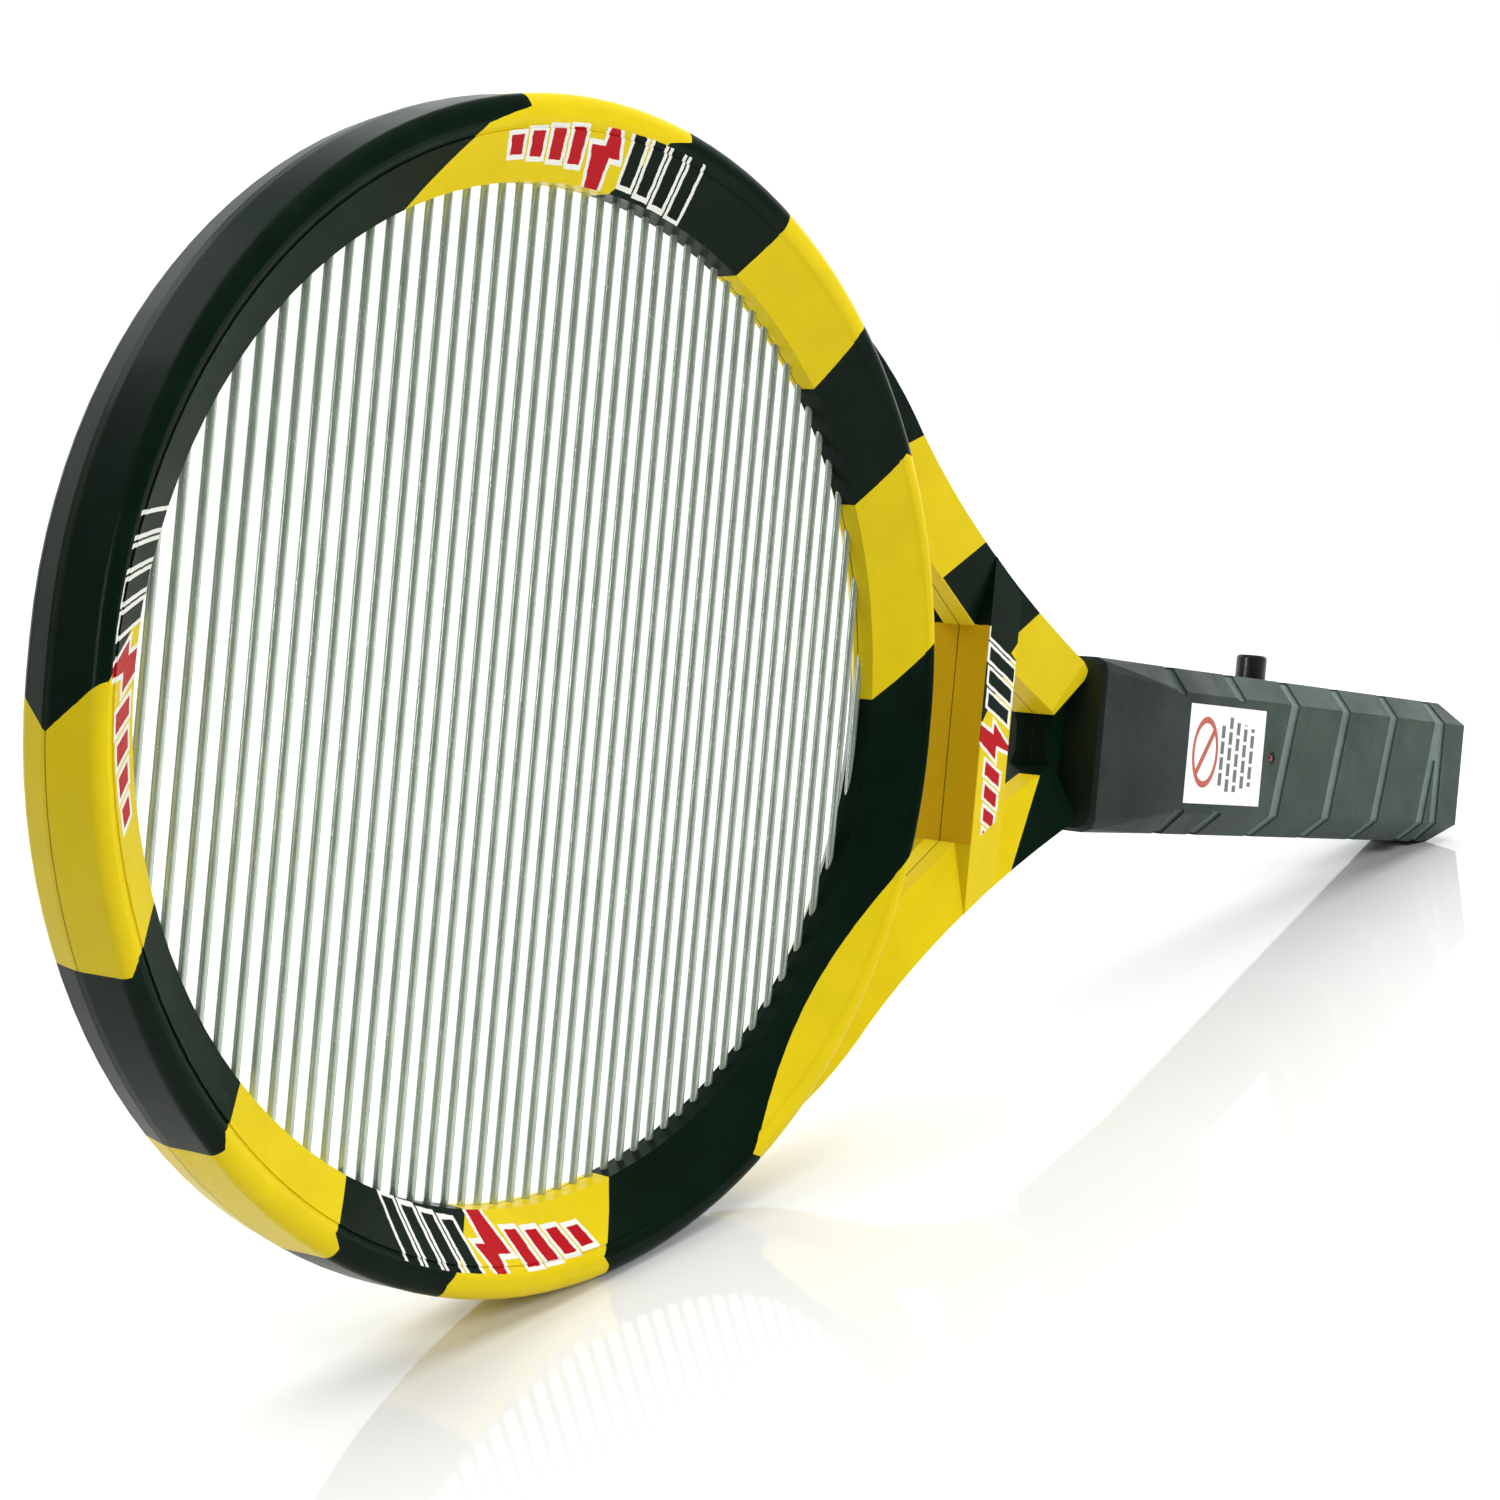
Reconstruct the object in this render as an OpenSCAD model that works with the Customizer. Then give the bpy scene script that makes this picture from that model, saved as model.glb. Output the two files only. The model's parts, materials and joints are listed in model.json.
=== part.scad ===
// Electric fly swatter: a striped ring of parallel rods on a two-armed throat, with a battery handle.
// Racket axes: x runs from the ring's centre down the handle, y runs along the rods and z runs out of
// the front. stand() then sets the whole racket on its edge, on the ring's rim and the handle's tail.

/* [Ring] */
// Radius of the ring's outer side
rim_r = 102.5; // [101.5:0.5:104]
// How far each half of the rim is moved out along the rods
rim_stretch = 2.8; // [0.5:0.1:4]
// Height of the rim's crest on the front half, above the parting plane
crest_z = 12.2; // [11.5:0.1:13]
// Height of the rim's crest on the back half
back_crest_z = 9.1; // [8.6:0.1:10]
// Radius of the opening inside the lip
lip_r = 90.4; // [89.5:0.1:91]
// Height of the lip on the front half
lip_z = 3.9; // [3.6:0.1:5]
// Height of the lip on the back half
back_lip_z = 1.1; // [1:0.1:2]

/* [Rods] */
// Number of rods
rod_count = 48; // [44:2:48]
// Distance between neighbouring rods
rod_pitch = 4; // [3.8:0.05:4]
// Diameter of a rod
rod_d = 1.5; // [1.2:0.1:1.6]

/* [Throat] */
// Where the cross bridge starts
bridge_x = 124.3; // [122:0.1:126]
// Width of the cross bridge
bridge_w = 11; // [9:0.1:12]
// Height of the bridge's front face
bridge_z = 8.3; // [7.5:0.1:8.6]
// Height of the arms' outer edge at the bridge
arm_z = 8.3; // [7.5:0.1:8.6]

/* [Handle] */
// Where the handle starts
grip_x = 164.5; // [164:0.1:166]
// Where the tail's end chamfer starts
tail_x = 356; // [354:1:358]
// Where the handle ends
grip_end_x = 362.5; // [362:0.1:364]
// Half of the handle's width
grip_hw = 20.2; // [20:0.1:21]
// Half of the handle's thickness
grip_ht = 13.5; // [13.3:0.1:14]
// Size of the bevel along the handle's long edges
bevel = 5.7; // [5:0.1:6]
// Wall thickness of the handle
wall = 2; // [1.8:0.1:2.2]
// Depth of the grip's spiral grooves
groove_depth = 0.7; // [0.4:0.1:0.8]
// Width of the grip's spiral grooves
groove_w = 4.6; // [3.5:0.1:5.5]

/* [Controls] */
// Place of the push button along the handle
button_x = 256.8; // [255:0.1:259]
// Diameter of the push button
button_d = 7.8; // [7:0.1:8.4]
// How far the button stands out of the handle
button_out = 6.4; // [5:0.1:7]
// Travel of the push button
button_travel = 3; // [2:0.1:3.2]
// Place of the indicator lamp along the handle
led_x = 246.9; // [246:0.1:248]

/* [Hidden] */

$fn = 96;
small = 0.01;
gap = 0.1;

// Colours
stripe_yellow = [0.87, 0.76, 0.13];
grip_green = [0.24, 0.29, 0.26];
dark_plastic = [0.07, 0.07, 0.07];
steel = [0.72, 0.73, 0.74];
copper = [0.72, 0.45, 0.25];
board_green = [0.10, 0.35, 0.20];

// The stand: the angle that brings the rim and the tail's lower edge to the same height
tail_drop = grip_hw - rim_stretch;
stand_angle = asin(rim_r / sqrt(pow(tail_x, 2) + pow(tail_drop, 2))) - atan(tail_drop / tail_x);
end_flat = grip_hw - bevel;
reach_right = grip_end_x * cos(stand_angle) + end_flat * sin(stand_angle);
reach_left = rim_r + rim_stretch * sin(stand_angle);
stand_x = -(reach_right - reach_left) / 2;
stand_z = rim_r + rim_stretch * cos(stand_angle);

// Ring section
wall_r = 98.8;
lip_wall = 1.8;
shoulder_r = rim_r - 0.6;
// What differs between the halves: the crest's height, the rounding outside it, the radius where its
// inner rounding starts, the height of the lip, the height of the hollow behind the sloping face at
// its outer and inner side, and the height of the neck
front_form = [crest_z, 2.6, 98.7, lip_z, 8.6, 3.4, 3.6];
back_form = [back_crest_z, 3.4, 98.2, back_lip_z, 6.6, 0.9, 4.4];
bus_r = 100.6;
bus_d = 1.2;
bus_channel = [bus_r - 0.7, bus_r + 0.7];
bus_from = 18;
bus_to = 162;

// Throat outline: the outer edge of the upper arm leaves the rim in a shoulder and then runs in one
// shallow curve to the neck
shoulder_start = [62, 84];
shoulder_bend = [80, 75];
arm_start = [94.2, 61.5];
arm_bend = [122, 37];
arm_end = [165.4, 16];
arm_lean = 33.5;
arm_edge = [122.9, 40.8];
arm_fall = 18.5;
arm_rise = 1.6;
neck_x = 157;
neck_hw = 15.4;
spigot_hw = 12;
spigot_z = 3.4;
collar_x = [grip_x + wall + 0.2, grip_x + wall + 3.2];
collar_hw = 16;
collar_z = 9;
// The triangle-like openings either side of the bridge
ring_gap_outer = [92.5, 45.7];
ring_gap_inner = [bridge_x, 23.7];
neck_gap_outer = [bridge_x + bridge_w, 16.7];
neck_gap_inner = [neck_x, 5.8];
// The slanted end of each arm, with its rounded outer corner and the bevel along its front edge
end_inner = [157.8, 4.2];
end_outer = [164.2, 15.2];
end_turn = atan2(end_outer[1] - end_inner[1], end_outer[0] - end_inner[0]);
end_corner = [161.4, 15.3];
end_corner_r = 2.5;
end_bevel_at = [44.4, -5];
end_bevel_turn = 9;
end_bevel_fall = 17;

// Board
board_x = [205, 286];
board_hw = 15;
board_z = -3.5;
board_t = 1.6;
board_top = board_z + board_t;
board_posts = [[209, -11.5], [281.5, -11.5]];

// Wires
lead_d = 1.4;
lead_path = [
    [88, 51.6, 0], [100, 45.5, 0], [112, 39, 0], [124, 31.5, 0], [136, 23.6, 0],
    [148, 15.5, 0], [158, 10, 0], [168, 8, 0], [188, 8, 0], [200, 9, 0],
    [206.5, 10, board_top + lead_d / 2 + 0.05]
];
lead_gap = 0.3;

// Handle
bevel_blend_x = 200;
hollow_end_x = tail_x - 0.5;
cut_len = 400;
groove_pitch = 29.1;
groove_turns = 6;
groove_first_x = 196;
groove_start_x = 203;
groove_last_x = 347;
end_chamfer = 0.9;
face_angles = [0, 45, 90, 135, 180, 225, 270, 315];
perimeter = 4 * (grip_hw - bevel) + 4 * (grip_ht - bevel) + 4 * bevel * sqrt(2);
door_x = [294.4, grip_end_x];
door_hw = 12.8;
door_t = 2;
rail_w = 1.2;
rail_t = 1;
label_size = [38, 24.4];
label_x = 204.3;
label_t = 0.15;

// Batteries
cell_r = 7.1;
cell_len = 49.2;
cell_nub = 1.2;
cell_y = 7.6;
cell_z = -4;
plate_t = 0.4;
front_plate_x = 295.2;
rear_plate_x = 352.4;
bump_h = 1.2;
contact_gap = 0.05;
upper_cell_x = rear_plate_x - bump_h - contact_gap - cell_nub - cell_len;
lower_cell_x = front_plate_x + plate_t + bump_h + contact_gap;
rib_x = [front_plate_x - 1.3, rear_plate_x + plate_t + 0.1];

// Button
button_top_y = grip_hw + button_out;
collar_y = grip_hw - wall - 0.3;
button_flange_t = 1.4;
button_flange_r = 5.2;
stem_r = 1.6;
spring_r = 2.9;
spring_wire_r = 0.25;
switch_top_y = 9.5;

function unit(v) = v / norm(v);
function arc_points(c, r, a0, a1, n) = [
    for (i = [0:n]) c + r * [cos(a0 + (a1 - a0) * i / n), sin(a0 + (a1 - a0) * i / n)]
];
function curve(a, b, c, t) = pow(1 - t, 2) * a + 2 * t * (1 - t) * b + pow(t, 2) * c;
function flip_y(pts) = [for (p = pts) [p[0], -p[1], p[2]]];

// A round tube along a path, as rings of points joined by faces. ref is never along the path.
module tube(path, r, ref = [0, 0, 1], sides = 8) {
    n = len(path);
    tangents = [
        for (i = [0:n - 1]) unit(path[min(i + 1, n - 1)] - path[max(i - 1, 0)])
    ];
    points = [
        for (i = [0:n - 1]) let (a = unit(cross(tangents[i], ref)), b = cross(tangents[i], a))
            for (k = [0:sides - 1]) path[i] + r * (cos(360 * k / sides) * a + sin(360 * k / sides) * b)
    ];
    walls = [
        for (i = [0:n - 2]) for (k = [0:sides - 1]) let (m = (k + 1) % sides)
            [i * sides + k, (i + 1) * sides + k, (i + 1) * sides + m, i * sides + m]
    ];
    start_cap = [[for (k = [0:sides - 1]) k]];
    end_cap = [[for (k = [0:sides - 1]) (n - 1) * sides + sides - 1 - k]];
    polyhedron(points, concat(walls, start_cap, end_cap));
}

// Sets the racket on its edge, on the rim and the tail
module stand() {
    translate([stand_x, 0, stand_z])
        rotate([0, stand_angle, 0])
            rotate([90, 0, 0])
                children();
}

// ---------- Head ----------

// The section of the rim's outer side, out to the crest
module rim_section(form) {
    top = form[0];
    roll = form[1];
    polygon(concat(
        [[lip_r - 8, 0], [rim_r, 0], [rim_r, 1]],
        arc_points([shoulder_r - roll, top - roll], roll, 0, 90, 8),
        [[lip_r - 8, top]]
    ));
}

// The rim as two half turns moved apart, joined by short straight pieces
module rim_blank(form) {
    for (turn = [0, 180])
        rotate([0, 0, turn]) {
            translate([0, rim_stretch, 0])
                rotate_extrude(angle = 180)
                    rim_section(form);
            translate([0, rim_stretch, 0])
                rotate([90, 0, 0])
                    linear_extrude(2 * rim_stretch)
                        rim_section(form);
        }
}

// What is taken out of the rim: the open middle, the sloping face and the hollow behind it
module rim_hollow(form) {
    top = form[0];
    turn_r = form[2];
    cavity_r = lip_r + lip_wall;
    rotate_extrude()
        polygon([[cavity_r, -1], [wall_r, -1], [wall_r, form[4]], [cavity_r, form[5]]]);
    rotate_extrude()
        polygon([
            [0, -1], [lip_r, -1], [lip_r, form[3]],
            [turn_r, top - 1.05], [turn_r + 0.1, top - 1.3], [turn_r + 0.45, top - 0.95],
            [turn_r + 0.8, top - 0.55], [turn_r + 1.4, top - 0.2], [turn_r + 2.1, top],
            [turn_r + 2.1, top + 5], [0, top + 5]
        ]);
}

module bus_channel_cut() {
    rotate_extrude()
        translate([bus_channel[0], -1])
            square([bus_channel[1] - bus_channel[0], 1.7]);
}

function arm_outer_edge(steps = 10) = [
    for (i = [0:steps]) curve(arm_start, arm_bend, arm_end, i / steps)
];

// The outline of one arm, from inside the rim to the neck
module arm_outline(end_x) {
    steps = 8;
    polygon(concat(
        [for (i = [0:steps - 1]) curve(shoulder_start, shoulder_bend, arm_start, i / steps)],
        arm_outer_edge(),
        [[end_x, 15.6], [end_x, 0], [neck_gap_inner[0], 0], neck_gap_inner, neck_gap_outer,
         [neck_gap_outer[0], 10], [ring_gap_inner[0], 10], ring_gap_inner, ring_gap_outer,
         [wall_r * cos(28), wall_r * sin(28)], [wall_r * cos(52), wall_r * sin(52)]]
    ));
}

// Everything under the arm's sloping front face, which falls from the outer edge to the inner edge
module under_arm_face() {
    on_arm_face()
        translate([-120, -60, -40])
            cube([240, 80, 40]);
}

// Lays its children on the arm's front face: x along the arm, y across it and z out of it
module on_arm_face() {
    translate([arm_edge[0], arm_edge[1], arm_z])
        rotate([0, 0, -arm_lean])
            rotate([arm_fall, -arm_rise, 0])
                children();
}

// What is taken away over the neck, beyond the arm's slanted end and round its outer corner
module beyond_arm_end(low_z) {
    translate([end_inner[0], end_inner[1], low_z])
        rotate([0, 0, end_turn])
            translate([-20, -40, 0])
                cube([60, 40, 20]);
    difference() {
        translate([end_corner[0], end_corner[1], low_z])
            rotate([0, 0, end_turn - 90])
                cube([6, 6, 20]);
        translate([end_corner[0], end_corner[1], low_z - 1])
            cylinder(r = end_corner_r, h = 22);
    }
}

module end_bevel_cut() {
    on_arm_face()
        translate([end_bevel_at[0], end_bevel_at[1], 0])
            rotate([0, 0, end_bevel_turn])
                rotate([0, end_bevel_fall, 0])
                    translate([0, -30, 0])
                        cube([30, 60, 20]);
}

// One half of one arm
module arm_half(form) {
    difference() {
        intersection() {
            linear_extrude(12)
                arm_outline(grip_x - 0.3);
            under_arm_face();
        }
        beyond_arm_end(form[6]);
        end_bevel_cut();
    }
}

// The raised band across both arms, clipped by their outer edges
module bridge_half() {
    intersection() {
        translate([bridge_x, -45, 0])
            cube([bridge_w, 90, bridge_z]);
        linear_extrude(bridge_z) {
            bridge_outline();
            mirror([0, 1, 0])
                bridge_outline();
        }
    }
}

module bridge_outline() {
    polygon(concat(arm_outer_edge(), [[arm_end[0], -1], [arm_start[0], -1]]));
}

// The spigot and collar that the handle's halves close around
module spigot_half(form) {
    translate([neck_x, -neck_hw, 0])
        cube([grip_x - 0.3 - neck_x, 2 * neck_hw, form[6]]);
    translate([grip_x - 1, -spigot_hw, 0])
        cube([collar_x[1] - grip_x + 1, 2 * spigot_hw, spigot_z]);
    translate([collar_x[0], -collar_hw, 0])
        cube([collar_x[1] - collar_x[0], 2 * collar_hw, collar_z]);
}

// Square channels for the two leads through the arms
module lead_channels() {
    channel_w = lead_d + 2 * lead_gap;
    for (path = [lead_path, flip_y(lead_path)])
        for (i = [0:len(path) - 2])
            let (span = path[i + 1] - path[i])
                translate(path[i])
                    rotate([0, 0, atan2(span[1], span[0])])
                        translate([-0.4, -channel_w / 2, -1])
                            cube([norm(span) + 0.8, channel_w, 1 + channel_w / 2]);
}

// Half-round notches in the wall, one for each end of each rod
module rod_notches() {
    for (k = [0:rod_count - 1])
        let (x = rod_x(k), reach = sqrt(pow(bus_r, 2) - pow(abs(x) + rod_d / 2, 2)))
            translate([x, reach, 0])
                rotate([90, 0, 0])
                    cylinder(d = rod_d + gap, h = 2 * reach, $fn = 24);
}

function rod_x(k) = (k - (rod_count - 1) / 2) * rod_pitch;

screw_places = [[130, 13], [130, -13], [160.8, 3.6], [160.8, -3.6]];
head_seat_z = 2.4;

// Half of the head, seen from its own outer side
module head_half(form) {
    difference() {
        union() {
            difference() {
                rim_blank(form);
                rim_hollow(form);
            }
            difference() {
                union() {
                    arm_half(form);
                    mirror([0, 1, 0])
                        arm_half(form);
                    bridge_half();
                }
                translate([0, 0, -1])
                    cylinder(r = wall_r + 1, h = 20);
            }
            spigot_half(form);
        }
        bus_channel_cut();
        rod_notches();
        lead_channels();
    }
}

module head_front_shell() {
    color(stripe_yellow)
        stand()
            difference() {
                head_half(front_form);
                for (place = screw_places)
                    translate([place[0], place[1], -1])
                        cylinder(d = 2.6, h = 4, $fn = 32);
            }
}

module head_back_shell() {
    color(stripe_yellow)
        stand()
            mirror([0, 0, 1])
                difference() {
                    head_half(back_form);
                    for (place = screw_places) {
                        translate([place[0], place[1], -1])
                            cylinder(d = 2.8, h = 12, $fn = 32);
                        translate([place[0], place[1], head_seat_z])
                            cylinder(d = 5.2, h = 12, $fn = 32);
                    }
                }
}

// Every second rod belongs to each side of the circuit, and only one of its ends meets a bus wire
module rods(first, long_end) {
    for (k = [first:2:rod_count - 1])
        let (
            x = rod_x(k),
            corner = abs(x) + rod_d / 2,
            far_y = sqrt(pow(bus_r - bus_d / 2 - 0.05, 2) - pow(corner, 2)),
            near_y = sqrt(pow(wall_r + 0.8, 2) - pow(corner, 2)),
            low_y = long_end > 0 ? near_y : far_y
        )
            translate([x, -low_y, 0])
                rotate([-90, 0, 0])
                    cylinder(d = rod_d, h = near_y + far_y, $fn = 32);
}

module live_rods() {
    color(steel)
        stand()
            rods(0, 1);
}

module ground_rods() {
    color(steel)
        stand()
            rods(1, -1);
}

module bus_wire() {
    rotate([0, 0, bus_from])
        rotate_extrude(angle = bus_to - bus_from)
            translate([bus_r, 0])
                circle(d = bus_d, $fn = 24);
}

module live_bus_wire() {
    color(copper)
        stand()
            bus_wire();
}

module ground_bus_wire() {
    color(copper)
        stand()
            mirror([0, 1, 0])
                bus_wire();
}

module live_lead() {
    color("firebrick")
        stand()
            tube(lead_path, lead_d / 2);
}

module ground_lead() {
    color("black")
        stand()
            tube(flip_y(lead_path), lead_d / 2);
}

// A self-tapping screw pointing to +z, with its head's underside at z = 0
module screw(head_d, head_h, shank_d, shank_len) {
    difference() {
        union() {
            translate([0, 0, -head_h])
                cylinder(d = head_d, h = head_h, $fn = 32);
            translate([0, 0, -small])
                cylinder(d = shank_d, h = shank_len, $fn = 32);
        }
        for (turn = [0, 90])
            rotate([0, 0, turn])
                translate([-head_d * 0.3, -0.4, -head_h - 1])
                    cube([head_d * 0.6, 0.8, 1.8]);
    }
}

module head_screws() {
    color(steel)
        stand()
            for (place = screw_places)
                translate([place[0], place[1], -head_seat_z])
                    screw(4.8, 1.8, 2.4, 5.2);
}

// ---------- Handle ----------

// The handle's cross section, as an octagon, shrunk by inset all round
module grip_section(inset) {
    hw = grip_hw - inset;
    ht = grip_ht - inset;
    b = bevel - inset * (2 - sqrt(2));
    polygon([
        [hw, ht - b], [hw - b, ht], [-(hw - b), ht], [-hw, ht - b],
        [-hw, -(ht - b)], [-(hw - b), -ht], [hw - b, -ht], [hw, -(ht - b)]
    ]);
}

// Stands a cross section drawn in (y, z) across the handle at x
module across(x, length) {
    translate([x, 0, 0])
        rotate([90, 0, 90])
            linear_extrude(length)
                children();
}

// The section near the handle's front end, where the bevels have shrunk to small corners
module front_end_section(inset) {
    hw = grip_hw - inset;
    ht = grip_ht - inset;
    c = 0.9;
    side = ht - 3.4;
    face = hw - 3;
    polygon([
        [hw, side], [hw - c, ht - c], [face, ht], [-face, ht], [-(hw - c), ht - c], [-hw, side],
        [-hw, -side], [-(hw - c), -(ht - c)], [-face, -ht], [face, -ht], [hw - c, -(ht - c)], [hw, -side]
    ]);
}

// The outside of the whole handle
module grip_body() {
    hull() {
        across(grip_x, small)
            front_end_section(end_chamfer);
        across(grip_x + end_chamfer, 1)
            front_end_section(0);
        across(bevel_blend_x, 0.1)
            grip_section(0);
    }
    across(bevel_blend_x, tail_x - bevel_blend_x)
        grip_section(0);
    hull() {
        across(tail_x - 0.1, 0.1)
            grip_section(0);
        across(grip_end_x - 0.1, 0.1)
            square([2 * end_flat, 2 * grip_ht], center = true);
    }
}

// Where each face of the octagon lies: its turn about the handle's axis, its distance from the
// axis, its width, and how far round the section its middle is
function face_distance(a) =
    a % 180 == 0 ? grip_ht : a % 180 == 90 ? grip_hw : (grip_hw + grip_ht - bevel) / sqrt(2);
function face_width(a) =
    a % 180 == 0 ? 2 * (grip_hw - bevel) : a % 180 == 90 ? 2 * (grip_ht - bevel) : bevel * sqrt(2);
function face_offset(a) =
    a % 90 == 0 ? 0 : (sin(2 * a) > 0 ? 1 : -1) * (grip_hw - grip_ht) / sqrt(2);
function face_place(i) = i == 0 ? 0
    : face_place(i - 1) + (face_width(face_angles[i - 1]) + face_width(face_angles[i])) / 2;

// One stretch of the spiral groove, across one face of the octagon
module groove_stretch(i, x, lean) {
    a = face_angles[i];
    translate([x, 0, 0])
        rotate([-a, 0, 0])
            translate([0, face_offset(a), face_distance(a)])
                rotate([0, 0, -lean])
                    cube([groove_w, face_width(a) + 1.2, 2 * groove_depth], center = true);
}

// The spiral groove, the short straight groove that starts it and the ring groove that ends it. The
// front face has no groove before the label's end.
module grip_grooves() {
    lean = atan(groove_pitch / perimeter);
    for (turn = [0:groove_turns - 1])
        for (i = [0:len(face_angles) - 1])
            let (x = groove_first_x + groove_pitch * (turn + face_place(i) / perimeter))
                if (x < groove_last_x - 1 && (i > 0 || x > label_x + label_size[0]))
                    groove_stretch(i, x, lean);
    for (i = [5:7])
        groove_stretch(i, groove_start_x, 0);
    difference() {
        across(groove_last_x - groove_w / 2, groove_w)
            square(60, center = true);
        across(groove_last_x - groove_w, 2 * groove_w)
            grip_section(groove_depth);
    }
}

// The handle's solid wall, hollow inside, with the groove cut in
module grip_wall() {
    difference() {
        grip_body();
        grip_grooves();
        across(grip_x + wall, hollow_end_x - grip_x - wall)
            grip_section(wall);
        translate([grip_x - 1, -spigot_hw - gap, -spigot_z - gap])
            cube([wall + 2, 2 * (spigot_hw + gap), 2 * (spigot_z + gap)]);
        translate([button_x, grip_hw - 6, 0])
            rotate([-90, 0, 0])
                cylinder(d = button_d + 0.3, h = 10, $fn = 48);
    }
}

handle_screw_places = [[186, 12.6], [186, -12.6], [289.8, 0]];
boss_r = 3;

module half_space(side) {
    translate([0, -50, side > 0 ? 0 : -50])
        cube([cut_len, 100, 50]);
}

module handle_front_shell() {
    color(grip_green)
        stand()
            difference() {
                union() {
                    intersection() {
                        grip_wall();
                        half_space(1);
                    }
                    for (place = handle_screw_places)
                        translate([place[0], place[1], 0])
                            cylinder(r = boss_r, h = grip_ht - 1, $fn = 32);
                    for (x = rib_x)
                        translate([x, -8, cell_z - 5])
                            cube([1.2, 16, grip_ht + 4 - cell_z]);
                }
                translate([led_x, 0.4, 0])
                    cylinder(d = 3.4, h = 30, $fn = 32);
                translate([label_x, -label_size[1] / 2, grip_ht - label_t])
                    cube([label_size[0], label_size[1], 1]);
                for (place = handle_screw_places)
                    translate([place[0], place[1], -1])
                        cylinder(d = 2.6, h = 10, $fn = 32);
            }
}

module handle_back_shell() {
    color(grip_green)
        stand()
            difference() {
                union() {
                    intersection() {
                        grip_wall();
                        half_space(-1);
                    }
                    for (place = handle_screw_places)
                        translate([place[0], place[1], -grip_ht + 1])
                            cylinder(r = boss_r, h = grip_ht - 1, $fn = 32);
                    for (place = board_posts)
                        translate([place[0], place[1], -grip_ht + 1])
                            cylinder(r = 2.4, h = grip_ht - 1 + board_z, $fn = 32);
                }
                door_opening();
                for (place = handle_screw_places) {
                    translate([place[0], place[1], -30])
                        cylinder(d = 2.8, h = 40, $fn = 32);
                    translate([place[0], place[1], -30])
                        cylinder(d = 5.2, h = 30 - 7.5, $fn = 32);
                }
                for (place = board_posts)
                    translate([place[0], place[1], board_z - 6])
                        cylinder(d = 1.8, h = 10, $fn = 24);
            }
}

// The opening under the battery door, with its two side rails
module door_opening() {
    translate([door_x[0] - 0.2, -door_hw - 0.2, -grip_ht - 1])
        cube([cut_len, 2 * (door_hw + 0.2), door_t + 1.1]);
    translate([door_x[0] - 0.2, -door_hw - rail_w - 0.2, -grip_ht + door_t - rail_t - 0.2])
        cube([cut_len, 2 * (door_hw + rail_w + 0.2), rail_t + 0.3]);
    translate([door_x[0] + 2, -door_hw + 0.6, -grip_ht - 1])
        cube([hollow_end_x - door_x[0] - 2, 2 * (door_hw - 0.6), 8]);
}

module battery_door() {
    color(grip_green)
        stand()
            difference() {
                union() {
                    translate([door_x[0], -door_hw, -grip_ht])
                        cube([door_x[1] - door_x[0], 2 * door_hw, door_t]);
                    translate([door_x[0], -door_hw - rail_w, -grip_ht + door_t - rail_t])
                        cube([door_x[1] - door_x[0], 2 * (door_hw + rail_w), rail_t]);
                }
                for (i = [0:4])
                    translate([door_x[0] + 8 + 2.2 * i, -7 + i * 0.8, -grip_ht - 1])
                        cube([1.1, 14 - i * 1.6, 1.6]);
                grip_grooves();
            }
}

module handle_screws() {
    color(steel)
        stand()
            for (place = handle_screw_places)
                translate([place[0], place[1], -7.5])
                    screw(4.8, 2, 2.4, 14);
}

// ---------- Power ----------

// A cell from x0 on, with its nub at the rear end or at the front end
module cell(x0, y, nub_end) {
    translate([x0 + (cell_len + cell_nub) / 2, y, cell_z])
        rotate([0, 90 * nub_end, 0])
            translate([0, 0, -(cell_len + cell_nub) / 2]) {
                cylinder(r = cell_r, h = cell_len);
                cylinder(r = 2.75, h = cell_len + cell_nub);
            }
}

module upper_cell() {
    color("darkorange")
        stand()
            cell(upper_cell_x, cell_y, 1);
}

module lower_cell() {
    color("darkorange")
        stand()
            cell(lower_cell_x, -cell_y, -1);
}

// A battery spring along +x, from a plate to the flat end of a cell
module battery_spring(x0, x1, y) {
    turns = 3;
    steps = 14 * turns;
    wire_r = 0.3;
    coil_r = 3.4;
    end_gap = wire_r + contact_gap;
    coil = [
        for (i = [0:steps]) [
            x0 + end_gap + (x1 - x0 - 2 * end_gap) * i / steps,
            y + coil_r * cos(360 * turns * i / steps),
            cell_z + coil_r * sin(360 * turns * i / steps)
        ]
    ];
    tube(coil, wire_r, [1, 0, 0], 6);
}

// A contact plate, standing across the handle at x
module contact_plate(x, y, half_width) {
    translate([x, y - half_width, cell_z - 5.5])
        cube([plate_t, 2 * half_width, 11]);
}

module contact_bump(x, y) {
    translate([x, y, cell_z])
        rotate([0, 90, 0])
            cylinder(r = 2.2, h = bump_h + small, $fn = 32);
}

module rear_contact_plate() {
    color(steel)
        stand() {
            contact_plate(rear_plate_x, 0, cell_y + 5);
            contact_bump(rear_plate_x - bump_h, cell_y);
        }
}

module rear_contact_spring() {
    color(steel)
        stand()
            battery_spring(lower_cell_x + cell_nub + cell_len, rear_plate_x, -cell_y);
}

module front_contact_plates() {
    color(steel)
        stand() {
            contact_plate(front_plate_x, cell_y, 5);
            contact_plate(front_plate_x, -cell_y, 5);
            contact_bump(front_plate_x + plate_t - small, -cell_y);
        }
}

module front_contact_spring() {
    color(steel)
        stand()
            battery_spring(front_plate_x + plate_t, upper_cell_x, cell_y);
}

// The wire from a contact plate to the board, on the side where y has this sign
module battery_lead(side) {
    tube([
        [front_plate_x - 0.1, 10.4 * side, 0.6], [293, 10.6 * side, 0.9], [290, 9 * side, 1.6],
        [286, 6.5 * side, 1.2], [283.6, 6 * side, 0.3], [283, 6 * side, board_top + 0.1]
    ], 0.6, [0, 1, 0.3]);
}

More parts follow.
